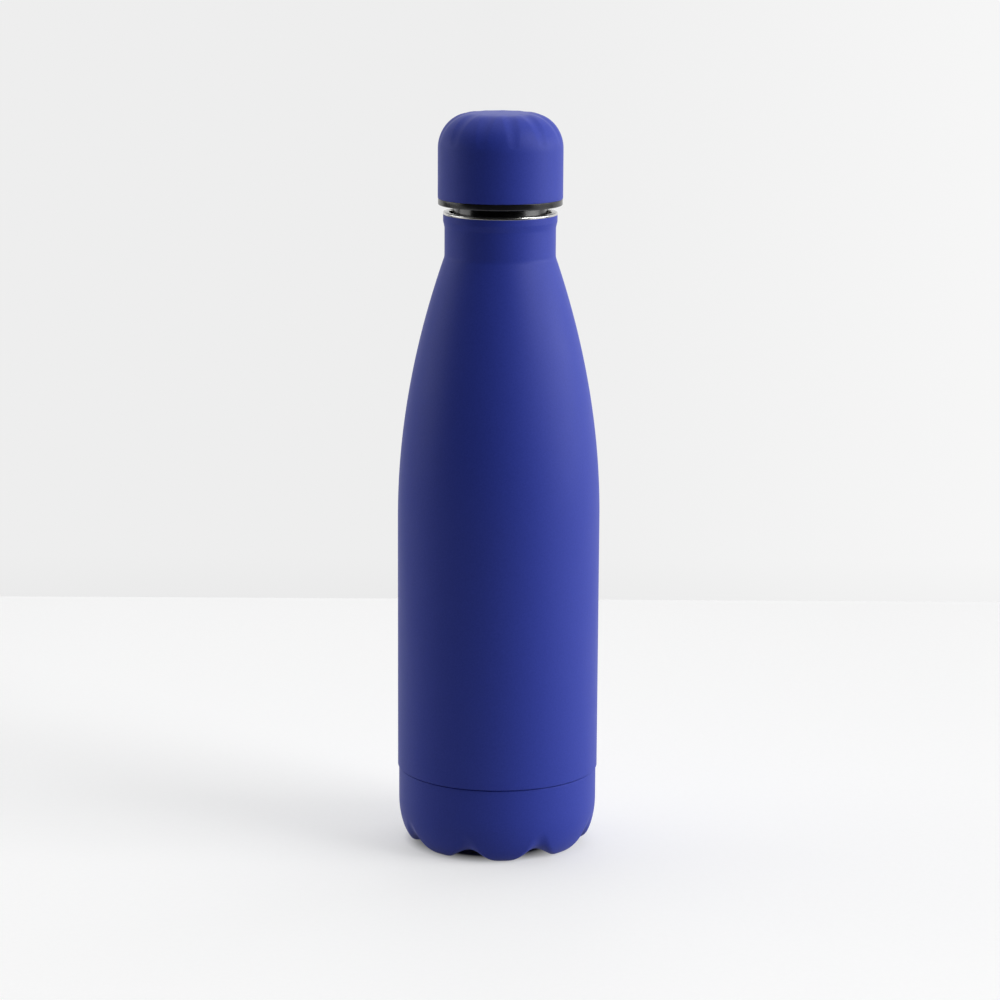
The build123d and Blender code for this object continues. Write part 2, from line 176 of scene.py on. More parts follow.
# Fineness of the meshes: columns round the axis, and rows where they're set
SHELL_COLUMNS = 256
FLASK_COLUMNS = 240
FOOT_COLUMNS = 400
CAP_COLUMNS = 480
STOPPER_COLUMNS = 256
SEAL_COLUMNS = 200
NECK_THREAD_ROWS = 90
PLUG_THREAD_ROWS = 100
FOOT_BEND_ROWS = 64
DOME_ROWS = 56
CROWN_ROWS = 24


# ------------------------------------------------------- profiles
def rounded(points, radii, steps=6):
    """Polyline (r, z) whose corners are replaced by tangent arcs.

    At a corner that turns by w, an arc of radius q starts q*tan(w/2) before
    it and is p + q*sin(u)*a + q*(1 - cos(u))*n for u from 0 to w, with a the
    direction in and n the normal to a on the side of the turn.
    """
    points = np.array(points, float)
    path = [points[:1]]
    for before, corner, after, radius in zip(points[:-2], points[1:-1], points[2:], radii):
        a = (corner - before) / np.linalg.norm(corner - before)
        b = (after - corner) / np.linalg.norm(after - corner)
        side = a[0] * b[1] - a[1] * b[0]
        w = math.atan2(abs(side), float(a @ b))
        if w < 1e-6:
            path.append(corner[None])
            continue
        n = np.array([-a[1], a[0]]) * math.copysign(1, side)
        start = corner - a * radius * math.tan(w / 2)
        u = np.linspace(0, w, steps + 1)[:, None]
        path.append(start + radius * np.sin(u) * a + radius * (1 - np.cos(u)) * n)
    path.append(points[-1:])
    return np.concatenate(path)


def eased(path, longest=4.0, shortest=2.0, fewest=4):
    """Points added on each straight run, at (1 - cos(pi*k/n))/2 of it.

    They crowd towards the run's ends, so that smooth shading stays true.  A
    run under shortest stays whole.  Another is cut into the fewest parts and
    one more for each length of longest.
    """
    out = []
    for start, end in zip(path[:-1], path[1:]):
        length = np.linalg.norm(end - start)
        n = 1 if length < shortest else int(fewest + length / longest)
        t = (1 - np.cos(np.pi * np.arange(n) / n))[:, None] / 2
        out.append(start + t * (end - start))
    out.append(path[-1:])
    return np.concatenate(out)


def shoulder(low_radius, top_radius, top_z, count=72):
    """Cubic Bezier from the cylinder up to the neck.

    Both handles keep the cylinder's radius, and the upper one shortens with
    the curve's height.
    """
    reach = top_z - SHOULDER_Z
    handles = np.array([
        (low_radius, SHOULDER_Z),
        (low_radius, SHOULDER_Z + SHOULDER_LOW_PULL),
        (low_radius, top_z - SHOULDER_HIGH_PULL * reach / SHOULDER_HEIGHT),
        (top_radius, top_z),
    ])
    t = np.linspace(0, 1, count)[:, None]
    weights = np.hstack([(1 - t) ** 3, 3 * t * (1 - t) ** 2, 3 * t ** 2 * (1 - t), t ** 3])
    return weights @ handles


def blended(lower, upper, radius, steps=10):
    """Two paths that meet at a corner, joined by an arc of the given radius.

    The lower path loses its points up to a little more than the arc's
    tangent length, radius*tan(turn/2), from the corner.
    """
    lean = lower[-1] - lower[-2]
    turn = math.atan2(lean[1], lean[0]) - math.pi / 2
    cut = abs(radius * math.tan(turn / 2))
    kept = lower[np.linalg.norm(lower - lower[-1], axis=1) > cut * 1.02]
    joint = rounded([kept[-1], lower[-1], upper[1]], [radius], steps)
    return np.concatenate([kept[:-1], joint[:-1], upper[1:]])


# --------------------------------------------------------- meshes
def grid(points, closed):
    """Vertices, face corners and the faces' first corners of a grid of points.

    Rows run along the profile, columns round the axis.  Columns always close;
    rows close where the profile is a loop.  A first or last row on the axis
    becomes one point with a fan of triangles.
    """
    rows, columns = points.shape[:2]
    radius = np.hypot(points[..., 0], points[..., 1]).max(axis=1)
    first_pole = not closed and radius[0] < 1e-9
    last_pole = not closed and radius[-1] < 1e-9
    keep = np.ones((rows, columns), bool)
    keep[0, 1:] &= not first_pole
    keep[-1, 1:] &= not last_pole
    index = np.cumsum(keep.ravel()).reshape(rows, columns) - 1
    index[0] = index[0, 0] if first_pole else index[0]
    index[-1] = index[-1, 0] if last_pole else index[-1]
    low = index if closed else index[:-1]
    high = np.roll(index, -1, axis=0) if closed else index[1:]
    cells = np.stack([low, np.roll(low, -1, 1), np.roll(high, -1, 1), high], axis=-1)
    quads = cells[int(first_pole):len(cells) - int(last_pole)].reshape(-1, 4)
    fans = [np.empty((0, 3), int)]
    if first_pole:
        fans.append(cells[0][:, [0, 2, 3]])
    if last_pole:
        fans.append(cells[-1][:, [0, 1, 2]])
    triangles = np.concatenate(fans)
    loops = np.concatenate([quads.ravel(), triangles.ravel()])
    starts = np.concatenate([
        np.arange(len(quads)) * 4,
        len(quads) * 4 + np.arange(len(triangles)) * 3,
    ])
    return points.reshape(-1, 3)[keep.ravel()], loops.astype(np.int32), starts.astype(np.int32)


def piece(name, points, body, node, materials, closed=False):
    """Smooth mesh on a grid of points that takes a CAD node's place."""
    vertices, loops, starts = grid(points, closed)
    mesh = bpy.data.meshes.new(name)
    mesh.vertices.add(len(vertices))
    mesh.vertices.foreach_set("co", (vertices * MM).astype(np.float32).ravel())
    mesh.loops.add(len(loops))
    mesh.loops.foreach_set("vertex_index", loops)
    mesh.polygons.add(len(starts))
    mesh.polygons.foreach_set("loop_start", starts)
    mesh.update(calc_edges=True)
    mesh.validate()
    mesh.shade_smooth()
    obj = bpy.data.objects.new(name, mesh)
    bpy.context.scene.collection.objects.link(obj)
    for material in materials:
        mesh.materials.append(material)
    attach(obj, body)
    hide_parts(node)
    return obj


def turned(path, columns):
    """Profile turned round the axis: (r*cos(a), r*sin(a), z)."""
    a = np.arange(columns) * 2 * np.pi / columns
    return np.stack([
        path[:, :1] * np.cos(a),
        path[:, :1] * np.sin(a),
        np.repeat(path[:, 1:], columns, axis=1),
    ], axis=-1)


def smooth(t):
    """3*t^2 - 2*t^3, with t held between 0 and 1."""
    t = np.clip(t, 0, 1)
    return t * t * (3 - 2 * t)


def ridge(a, z, offset):
    """Height from 0 to 1 of a screw thread at turn a and height z.

    A crest lies wherever (z - lead*a/(2*pi) - offset)/pitch is whole.  The
    ridge is flat on its crest, runs down smoothly over THREAD_FLANK and is 0
    from THREAD_FOOT on, both measured along the axis.
    """
    lead = THREAD_PITCH * THREAD_STARTS
    phase = (z - lead * a / (2 * np.pi) - offset) / THREAD_PITCH
    away = np.abs(phase - np.round(phase)) * THREAD_PITCH
    return smooth((THREAD_FOOT - away) / THREAD_FLANK)


def threaded(points, first, rows, span, height, offset=0.0):
    """Thread raised on some rows of a turned surface, which is changed.

    The radius grows by height*ridge(a, z) times a window that is 1 inside the
    span of heights and runs out smoothly at its ends.  A negative height
    makes the ridge stand inwards.
    """
    part = points[first:first + rows]
    a = np.arctan2(part[..., 1], part[..., 0])
    z = part[..., 2]
    window = smooth(np.minimum(z - span[0], span[1] - z) / THREAD_FADE)
    grown = height * ridge(a, z, offset) * window
    part[..., :2] *= (1 + grown / np.hypot(part[..., 0], part[..., 1]))[..., None]


def soft_step(u, k):
    """0 below -k, u above k, and (u + k)^2 / (4k) between: a rounded edge."""
    return np.where(u > k, u, np.where(u < -k, 0.0, (u + k) ** 2 / (4 * k)))


def into_copy(points, first, count):
    """Points turned about the axis so that the middle of the nearest of count
    equal copies lies along x: their x, y, z and that middle's angle."""
    radius = np.hypot(points[..., 0], points[..., 1])
    a = np.arctan2(points[..., 1], points[..., 0])
    step = 2 * np.pi / count
    rest = (a - first + step / 2) % step - step / 2
    return radius * np.cos(rest), radius * np.sin(rest), points[..., 2], a - rest


def out_of_copy(x, y, z, middle):
    """Points turned back about the axis to their own copy."""
    return np.stack([
        x * np.cos(middle) - y * np.sin(middle),
        x * np.sin(middle) + y * np.cos(middle),
        z,
    ], axis=-1)


# ------------------------------------------------------- shader nodes
def group(name, inputs, output_names):
    """Empty shader group with named value inputs and outputs."""
    tree = bpy.data.node_groups.new(name, "ShaderNodeTree")
    for label, default in inputs:
        socket = tree.interface.new_socket(label, in_out="INPUT", socket_type="NodeSocketFloat")
        socket.default_value = default
    for label in output_names:
        tree.interface.new_socket(label, in_out="OUTPUT", socket_type="NodeSocketFloat")
    return tree, tree.nodes.new("NodeGroupInput"), tree.nodes.new("NodeGroupOutput")


def add(tree, kind, links=(), **settings):
    """Node with its settings, whose inputs are linked or set by name or place."""
    node = tree.nodes.new(kind)
    for key, value in settings.items():
        setattr(node, key, value)
    for socket, source in links:
        if isinstance(source, bpy.types.NodeSocket):
            tree.links.new(source, node.inputs[socket])
        else:
            node.inputs[socket].default_value = source
    return node


def maths(tree, operation, first, second):
    """Result of a Math node on two sockets or numbers."""
    return add(tree, "ShaderNodeMath", [(0, first), (1, second)], operation=operation).outputs[0]


def place(tree):
    """Object coordinates."""
    return add(tree, "ShaderNodeTexCoord").outputs["Object"]


def noise(tree, where, scale, detail, roughness=0.5):
    """Noise from 0 to 1 at a place."""
    node = add(tree, "ShaderNodeTexNoise", [
        ("Vector", where), ("Scale", scale), ("Detail", detail), ("Roughness", roughness),
    ])
    return node.outputs["Fac"]


def ramp(tree, value, source, target=(0.0, 1.0)):
    """Value mapped from one span to another, held at the ends."""
    node = add(tree, "ShaderNodeMapRange", [
        ("Value", value), ("From Min", source[0]), ("From Max", source[1]),
        ("To Min", target[0]), ("To Max", target[1]),
    ])
    return node.outputs["Result"]


def colour_mix(tree, mask, low, high):
    """Colour that runs from low to high with a mask."""
    mix = add(tree, "ShaderNodeMix", [("Factor", mask)], data_type="RGBA")
    for socket in mix.inputs:
        if socket.type == "RGBA":
            socket.default_value = (*(low if socket.identifier.startswith("A") else high), 1)
    return next(socket for socket in mix.outputs if socket.type == "RGBA")


# ------------------------------------------------------------ effects
def powder_grain():
    """Grain of a sprayed and baked coat.

    Height is the sum of a fine and a coarser noise; Speck is the fine noise
    with more contrast, for the faint light and dark of single grains.
    """
    tree, enter, leave = group("powder_grain", [("Size", 0.5), ("Coarse", 0.35)], ["Height", "Speck"])
    where = place(tree)
    scale = maths(tree, "DIVIDE", 1000.0, enter.outputs["Size"])
    fine = noise(tree, where, scale, 2.0, 0.55)
    coarse = noise(tree, where, maths(tree, "DIVIDE", scale, 3.2), 1.0)
    share = maths(tree, "MULTIPLY", coarse, enter.outputs["Coarse"])
    tree.links.new(maths(tree, "ADD", fine, share), leave.inputs["Height"])
    tree.links.new(ramp(tree, fine, (0.3, 0.7)), leave.inputs["Speck"])
    return tree


def handling():
    """Faint cloudy marks of handling: a slow noise, stretched along the axis."""
    tree, enter, leave = group("handling", [("Scale", 40.0)], ["Cloud"])
    stretch = add(tree, "ShaderNodeMapping", [("Vector", place(tree)), ("Scale", (1.0, 1.0, 0.45))])
    cloud = noise(tree, stretch.outputs[0], enter.outputs["Scale"], 4.0, 0.6)
    tree.links.new(ramp(tree, cloud, (0.35, 0.65)), leave.inputs["Cloud"])
    return tree


def lathe_lines():
    """Fine rings left by turning and polishing about the bottle's axis.

    The noise is read at (distance from the axis, 0.02*x, height), which
    hardly changes round the axis, so its marks are rings.
    """
    tree, enter, leave = group("lathe_lines", [("Scale", 2500.0)], ["Line"])
    axes = add(tree, "ShaderNodeSeparateXYZ", [(0, place(tree))])
    flat = add(tree, "ShaderNodeCombineXYZ", [(0, axes.outputs[0]), (1, axes.outputs[1])])
    reach = add(tree, "ShaderNodeVectorMath", [(0, flat.outputs[0])], operation="LENGTH")
    drift = maths(tree, "MULTIPLY", axes.outputs[0], 0.02)
    ring = add(tree, "ShaderNodeCombineXYZ", [
        (0, reach.outputs["Value"]), (1, drift), (2, axes.outputs[2]),
    ])
    line = noise(tree, ring.outputs[0], enter.outputs["Scale"], 3.0, 0.6)
    tree.links.new(line, leave.inputs["Line"])
    return tree


GRAIN = powder_grain()
CLOUDS = handling()
LINES = lathe_lines()


# ---------------------------------------------------------- finishes
def finish(name, **constants):
    """Material with a Principled BSDF whose constant sockets are set by name."""
    material = bpy.data.materials.new(name)
    material.use_nodes = True
    shader = material.node_tree.nodes["Principled BSDF"]
    for key, value in constants.items():
        shader.inputs[key.replace("_", " ")].default_value = value
    return material, material.node_tree, shader


def effect(tree, effect_group, **values):
    """A shader group placed in a material with its own values."""
    node = add(tree, "ShaderNodeGroup", node_tree=effect_group)
    for key, value in values.items():
        node.inputs[key].default_value = value
    return node


def two_tone(tree, shader, mask, low, high):
    """Base colour that runs from low to high with a mask."""
    tree.links.new(colour_mix(tree, mask, low, high), shader.inputs["Base Color"])


def roughness_from(tree, shader, mask, low, high):
    """Roughness that runs from low to high with a mask."""
    tree.links.new(ramp(tree, mask, (0.0, 1.0), (low, high)), shader.inputs["Roughness"])


def relief(tree, shader, height, depth, strength):
    """Bump of the given depth in millimetres."""
    bump = add(tree, "ShaderNodeBump", [
        ("Height", height), ("Strength", strength), ("Distance", depth * MM),
    ])
    tree.links.new(bump.outputs["Normal"], shader.inputs["Normal"])


def linear(red, green, blue):
    """Linear colour of an 8-bit display colour."""
    c = np.array([red, green, blue]) / 255
    return tuple(float(x) for x in np.where(c <= 0.04045, c / 12.92, ((c + 0.055) / 1.055) ** 2.4))


def blue_coat():
    """Satin powder coat, deep blue, with a fine grain."""
    material, tree, shader = finish("blue_coat", IOR=1.3)
    grain = effect(tree, GRAIN, Size=0.55, Coarse=0.5)
    clouds = effect(tree, CLOUDS, Scale=45.0)
    two_tone(tree, shader, grain.outputs["Speck"], linear(46, 61, 159), linear(50, 65, 167))
    roughness_from(tree, shader, clouds.outputs["Cloud"], 0.48, 0.54)
    relief(tree, shader, grain.outputs["Height"], 0.012, 0.6)
    return material


def bare_steel(name, roughness, tone):
    """Stainless steel with turning rings."""
    material, tree, shader = finish(name, Metallic=1.0)
    lines = effect(tree, LINES, Scale=2600.0)
    dark, bright = linear(tone - 14, tone - 15, tone - 18), linear(tone, tone, tone - 2)
    two_tone(tree, shader, lines.outputs["Line"], dark, bright)
    roughness_from(tree, shader, lines.outputs["Line"], *roughness)
    relief(tree, shader, lines.outputs["Line"], 0.004, 0.5)
    return material


def black_plastic():
    """Moulded black plastic with a faint sheen and handling marks."""
    material, tree, shader = finish("black_plastic", IOR=1.49)
    grain = effect(tree, GRAIN, Size=0.35, Coarse=0.2)
    clouds = effect(tree, CLOUDS, Scale=120.0)
    two_tone(tree, shader, grain.outputs["Speck"], linear(18, 18, 21), linear(26, 26, 29))
    roughness_from(tree, shader, clouds.outputs["Cloud"], 0.18, 0.28)
    relief(tree, shader, grain.outputs["Height"], 0.004, 0.4)
    return material


def silicone():
    """Milky silicone, slightly dull."""
    material, tree, shader = finish("silicone", IOR=1.41, Subsurface_Weight=0.25, Subsurface_Scale=0.002)
    clouds = effect(tree, CLOUDS, Scale=200.0)
    grain = effect(tree, GRAIN, Size=0.3, Coarse=0.4)
    two_tone(tree, shader, clouds.outputs["Cloud"], linear(205, 205, 200), linear(222, 222, 218))
    roughness_from(tree, shader, clouds.outputs["Cloud"], 0.42, 0.55)
    relief(tree, shader, grain.outputs["Height"], 0.006, 0.4)
    return material


def copper():
    """Thin copper foil, crinkled where it was wrapped."""
    material, tree, shader = finish("copper", Metallic=1.0)
    clouds = effect(tree, CLOUDS, Scale=160.0)
    two_tone(tree, shader, clouds.outputs["Cloud"], linear(184, 115, 80), linear(222, 150, 112))
    roughness_from(tree, shader, clouds.outputs["Cloud"], 0.25, 0.42)
    relief(tree, shader, clouds.outputs["Cloud"], 0.08, 0.6)
    return material


def pressed_powder(name, low, high, metallic):
    """Dull pill or bead with an uneven surface."""
    material, tree, shader = finish(name, Metallic=metallic)
    grain = effect(tree, GRAIN, Size=0.4, Coarse=0.8)
    two_tone(tree, shader, grain.outputs["Speck"], linear(*low), linear(*high))
    roughness_from(tree, shader, grain.outputs["Speck"], 0.4, 0.62)
    relief(tree, shader, grain.outputs["Height"], 0.05, 0.6)
    return material


def white_foam():
    """Closed-cell foam: small round cells."""
    material, tree, shader = finish("white_foam", IOR=1.4)
    cells = add(tree, "ShaderNodeTexVoronoi", [("Vector", place(tree)), ("Scale", 900.0)])
    two_tone(tree, shader, cells.outputs["Distance"], linear(226, 225, 220), linear(242, 241, 238))
    roughness_from(tree, shader, cells.outputs["Distance"], 0.7, 0.9)
    relief(tree, shader, cells.outputs["Distance"], 0.15, 0.7)
    return material


BLUE = blue_coat()
LIP_STEEL = bare_steel("bare_steel", (0.16, 0.26), 214)
INNER_STEEL = bare_steel("drawn_steel", (0.28, 0.42), 200)
BLACK = black_plastic()
SILICONE = silicone()


# ------------------------------------------------------ bottle pieces
def shell_skin(inset):
    """Side of the shell from the spigot up to the lip, set in by inset.

    It is the spigot, the ledge at the seam, the cylinder, the shoulder's
    curve, the neck, its flare and the bead.
    """
    spigot = CUP_RADIUS - SPIGOT_DEPTH - inset
    side = BODY_RADIUS - inset
    neck = NECK_RADIUS - inset
    bead = BEAD_RADIUS - inset
    ledge_z = SEAM_Z + inset
    neck_z = SHOULDER_Z + SHOULDER_HEIGHT
    flare_z = neck_z + NECK_HEIGHT
    low = rounded(
        [(spigot, SHELL_LOW[2]), (spigot, ledge_z), (side, ledge_z), (side, SHOULDER_Z)],
        SEAM_EDGES,
    )
    high = rounded(
        [(neck, neck_z), (neck, flare_z), (bead, flare_z + FLARE_HEIGHT), (bead, LIP_BOTTOM_Z)],
        FLARE_EDGES,
    )
    curve = shoulder(side, neck, neck_z)
    return eased(np.concatenate([low[:-1], blended(curve, high, NECK_BLEND)]))


def painted_shell():
    """Outer shell: its skin turned round the axis, with the same skin set in
    by the steel's thickness as the inside."""
    path = np.concatenate([shell_skin(0), shell_skin(WALL)[::-1]])
    points = turned(path, SHELL_COLUMNS)
    return piece("painted_shell", points, "bottle", "outer_shell", [BLUE], closed=True)


def flask_skin(outset, top_z):
    """Side of the flask, set out by outset: the straight side, the shoulder's
    curve and, from there to top_z, the throat, the seat and the bore."""
    throat = THROAT_RADIUS + outset
    bore = BORE_RADIUS + outset
    side = FLASK_RADIUS - WALL + outset
    throat_z = SEAT_Z - THROAT_LENGTH
    low = np.array([(side, FLASK_LOW[2]), (side, SHOULDER_Z)])
    curve = shoulder(side, throat, throat_z)
    high = rounded(
        [(throat, throat_z), (throat, SEAT_Z), (bore, SEAT_Z + SEAT_HEIGHT), (bore, top_z)],
        [SEAT_EDGE, SEAT_EDGE],
    )
    return low, curve, high


def steel_flask():
    """Inner flask with the bare lip, turned round the axis.

    It runs up the outside, round the lip, down the bore with the neck's
    thread, whose ridges stand inwards, and down the inside.
    """
    low, curve, high = flask_skin(WALL, LIP_BOTTOM_Z)
    outside = eased(np.concatenate([low[:-1], blended(curve, high, FLASK_BLEND)]))
    bore_top_z = LIP_BOTTOM_Z - LIP_REACH
    lip = rounded(
        [(BORE_RADIUS + WALL, LIP_BOTTOM_Z), (BEAD_RADIUS, LIP_BOTTOM_Z), (BEAD_RADIUS, LIP_Z),
         (BORE_RADIUS, LIP_Z), (BORE_RADIUS, bore_top_z)],
        LIP_EDGES, 8,
    )
    low, curve, high = flask_skin(0, bore_top_z)
    bore_z = np.linspace(NECK_THREAD_Z[1], NECK_THREAD_Z[0], NECK_THREAD_ROWS)
    bore = np.stack([np.full_like(bore_z, BORE_RADIUS), bore_z], axis=1)
    below = np.concatenate([low[:-1], blended(curve, high[:-1], FLASK_BLEND)])
    path = np.concatenate([outside[:-1], lip, bore, eased(below)[::-1]])
    points = turned(path, FLASK_COLUMNS)
    first = len(outside) - 1 + len(lip)
    threaded(points, first, NECK_THREAD_ROWS, NECK_THREAD_Z, -NECK_THREAD_HEIGHT)
    steels = [LIP_STEEL, INNER_STEEL]
    flask = piece("steel_flask", points, "bottle", "inner_flask", steels, closed=True)
    faces = flask.data.polygons
    middle = np.empty(len(faces) * 3, np.float32)
    faces.foreach_get("center", middle)
    below_lip = middle[2::3] < (LIP_BOTTOM_Z - BARE_LIP_DEPTH) * MM
    faces.foreach_set("material_index", below_lip.astype(np.int32))
    return flask


def foot_profile(skin):
    """Foot cup before its arches are pressed, set in by skin: the recess, its
    flank and the flat foot ring, and then a quarter of an ellipse."""
    low = rounded(
        [(0, RECESS_Z + skin), (RECESS_RADIUS - skin, RECESS_Z + skin),
         (FOOT_INNER - skin, skin), (FOOT_OUTER, skin)],
        RECESS_EDGES,
    )
    u = np.linspace(-np.pi / 2, 0, FOOT_BEND_ROWS)[1:, None]
    bend = np.hstack([
        FOOT_OUTER + (CUP_RADIUS - FOOT_OUTER - skin) * np.cos(u),
        BEND_Z + (BEND_Z - skin) * np.sin(u),
    ])
    return low, bend


def pressed(points, skin):
    """Foot with its arches pressed in.

    The floor of an arch is the line z = 0, then an arc of ARCH_BEND, then a
    straight slope of ARCH_ANGLE.  Its roof lies above that floor by
    h(y) = (depth + lip)*cos(pi*y/(2*half))^2 - lip, measured square to the
    floor, and falls on evenly past its half width.  A point under the roof
    moves onto it, along the floor's normal, with soft_step at the edge.
    """
    x, y, z, middle = into_copy(points, FRONT_FOOT + np.pi / FOOT_COUNT, FOOT_COUNT)
    swing = np.clip(np.arctan2(x - ARCH_TURN, ARCH_BEND - z), 0, ARCH_ANGLE)
    swing = np.where(x > ARCH_TURN, swing, 0.0)
    normal_x, normal_z = -np.sin(swing), np.cos(swing)
    floor_x = ARCH_TURN + ARCH_BEND * np.sin(swing)
    floor_z = ARCH_BEND * (1 - np.cos(swing))
    above = np.where(x > ARCH_TURN, (x - floor_x) * normal_x + (z - floor_z) * normal_z, z)
    away = np.clip(np.abs(y) / ARCH_HALF, 0, 1)
    roof = (ARCH_DEPTH + ARCH_LIP) * np.cos(np.pi / 2 * away) ** 2 - ARCH_LIP
    roof -= ARCH_FALL * np.maximum(np.abs(y) - ARCH_HALF, 0)
    push = soft_step(roof + skin - above, ARCH_SOFT)
    return out_of_copy(x + push * normal_x, y, z + push * normal_z, middle)


def petal_foot():
    """Foot cup: the pressed outside and the same shape set in by its wall."""
    low, bend = foot_profile(0)
    rim = rounded(
        [(CUP_RADIUS, BEND_Z), (CUP_RADIUS, CUP_HIGH[2]), (CUP_RADIUS - CUP_WALL, CUP_HIGH[2]),
         (CUP_RADIUS - CUP_WALL, BEND_Z)],
        CUP_RIM_EDGES,
    )
    outside = np.concatenate([eased(low, longest=0.7), bend[:-1]])
    low, bend = foot_profile(CUP_WALL)
    inside = np.concatenate([eased(low, longest=1.5), bend[:-1:2]])[::-1]
    points = np.concatenate([
        pressed(turned(outside, FOOT_COLUMNS), 0),
        turned(eased(rim), FOOT_COLUMNS),
        pressed(turned(inside, FOOT_COLUMNS), CUP_WALL),
    ])
    return piece("petal_foot", points, "bottle", "base_cup", [BLUE])


# --------------------------------------------------------- cap pieces
def dome_profile(inset):
    """Cap's side, elliptic dome and crowned top, set in by inset.

    The crown is a circle's arc, level on the axis, through the dome's edge.
    """
    side = CAP_RADIUS - inset
    top_z = CAP_HIGH[2] - inset
    centre = CAP_RADIUS - DOME_WIDTH
    edge = math.acos((CROWN_RADIUS - centre) / DOME_WIDTH)
    u = np.linspace(0, edge, DOME_ROWS)[:, None]
    dome = np.hstack([
        centre + (DOME_WIDTH - inset) * np.cos(u),
        CAP_SIDE_Z + (DOME_HEIGHT - inset) * np.sin(u),
    ])
    edge_radius, edge_z = dome[-1]
    rise = top_z - edge_z
    crown_arc = (edge_radius ** 2 + rise ** 2) / (2 * rise)
    w = np.linspace(math.asin(edge_radius / crown_arc), 0, CROWN_ROWS)[1:, None]
    crown = np.hstack([crown_arc * np.sin(w), top_z - crown_arc * (1 - np.cos(w))])
    straight = eased(np.array([(side, CAP_LOW[2]), (side, CAP_SIDE_Z)]))
    return np.concatenate([straight[:-1], dome, crown])


def fluted(points):
    """Dome with its flutes pressed in.

    Each flute is the hollow that a tube of FLUTE_RADIUS leaves, whose centre
    line is an arc through three points above the dome: at the tube's radius
    at both ends and FLUTE_DEPTH lower in the middle.  A point inside the tube
    moves out to its wall, with soft_step at the edge.
    """
    centre = CAP_RADIUS - DOME_WIDTH
    over = FLUTE_RADIUS - np.array([0.0, FLUTE_DEPTH, 0.0])
    across, up = np.cos(FLUTE_COURSE), np.sin(FLUTE_COURSE)
    steep = np.hypot(DOME_HEIGHT * across, DOME_WIDTH * up)
    line_x = centre + DOME_WIDTH * across + over * DOME_HEIGHT * across / steep
    line_z = CAP_SIDE_Z + DOME_HEIGHT * up + over * DOME_WIDTH * up / steep
    system = np.stack([2 * line_x, 2 * line_z, np.ones(3)], axis=1)
    hub_x, hub_z, rest = np.linalg.solve(system, line_x ** 2 + line_z ** 2)
    reach = math.sqrt(rest + hub_x ** 2 + hub_z ** 2)
    x, y, z, middle = into_copy(points, FIRST_FLUTE, FLUTE_COUNT)
    span = np.hypot(x - hub_x, z - hub_z)
    off_x = x - hub_x - reach * (x - hub_x) / span
    off_z = z - hub_z - reach * (z - hub_z) / span
    distance = np.sqrt(off_x ** 2 + y ** 2 + off_z ** 2)
    swing = np.arctan2(z - hub_z, x - hub_x)
    ends = np.arctan2(line_z - hub_z, line_x - hub_x)
    past_end = np.maximum(np.maximum(ends[0] - swing, swing - ends[2]), 0)
    push = soft_step(FLUTE_RADIUS - distance - FLUTE_RUN_OUT * past_end, FLUTE_SOFT)
    push = np.where(z > CAP_SIDE_Z, push, 0.0) / distance
    return out_of_copy(x + push * off_x, y + push * y, z + push * off_z, middle)


def fluted_cap():
    """Painted cap: the plain inside of its wall, the rim, and the dome with
    its flutes."""
    inside = dome_profile(CAP_WALL)[::-1]
    outside = dome_profile(0)
    rim_top = CAP_LOW[2] + CAP_RIM_HEIGHT
    inner = CAP_RADIUS - CAP_WALL
    rim = rounded(
        [(inner, rim_top), (inner, CAP_LOW[2]), (CAP_RADIUS, CAP_LOW[2]), (CAP_RADIUS, rim_top)],
        CAP_RIM_EDGES,
    )
    points = np.concatenate([
        turned(inside[inside[:, 1] > rim_top], CAP_COLUMNS),
        turned(rim, CAP_COLUMNS),
        fluted(turned(outside[outside[:, 1] > rim_top], CAP_COLUMNS)),
    ])
    return piece("fluted_cap", points, "cap", "cap_shell", [BLUE])


